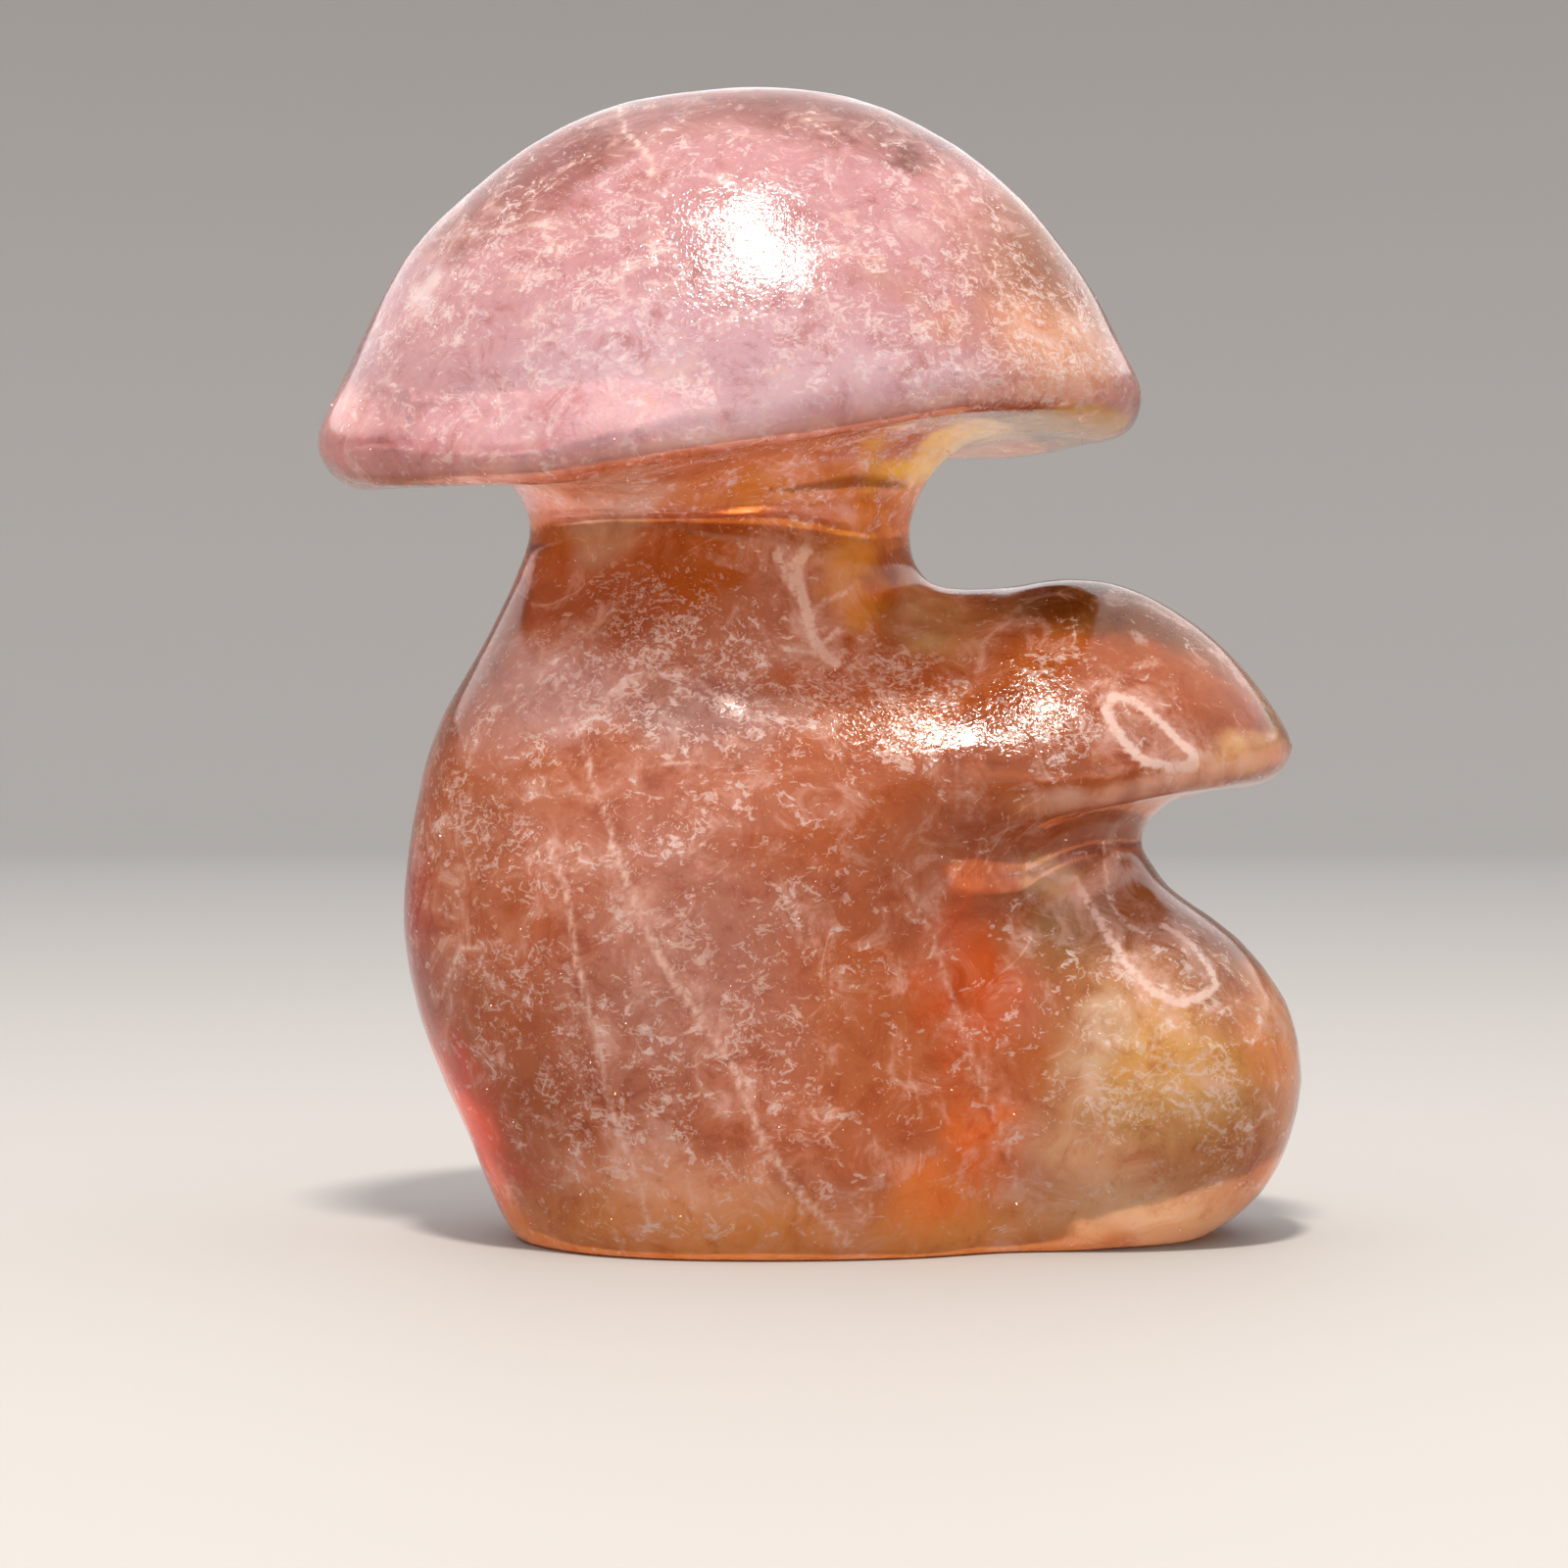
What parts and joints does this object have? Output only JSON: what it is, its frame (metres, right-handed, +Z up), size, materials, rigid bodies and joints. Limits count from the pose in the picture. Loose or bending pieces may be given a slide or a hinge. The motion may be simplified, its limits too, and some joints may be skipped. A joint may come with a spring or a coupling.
{
  "type": "fluorite mushroom carving",
  "caption": "Standing ornament carved from one piece of clear fluorite: a tall domed mushroom on a stout belly with a small mushroom grown to its side, flat underneath.",
  "frame": {"origin": "middle of the carving's outline, on the flat that it stands on", "axes": "+Z up through the tall cap, -Y towards the side that the picture shows, +X towards the small mushroom"},
  "size_m": [0.05, 0.0336, 0.0583],
  "materials": {
    "fluorite": "hand-ground and polished to a wet gloss, partly see-through, orange-brown with a pink cap"
  },
  "bodies": {
    "root": {"mushroom_carving": "fluorite"}
  },
  "joints": []
}
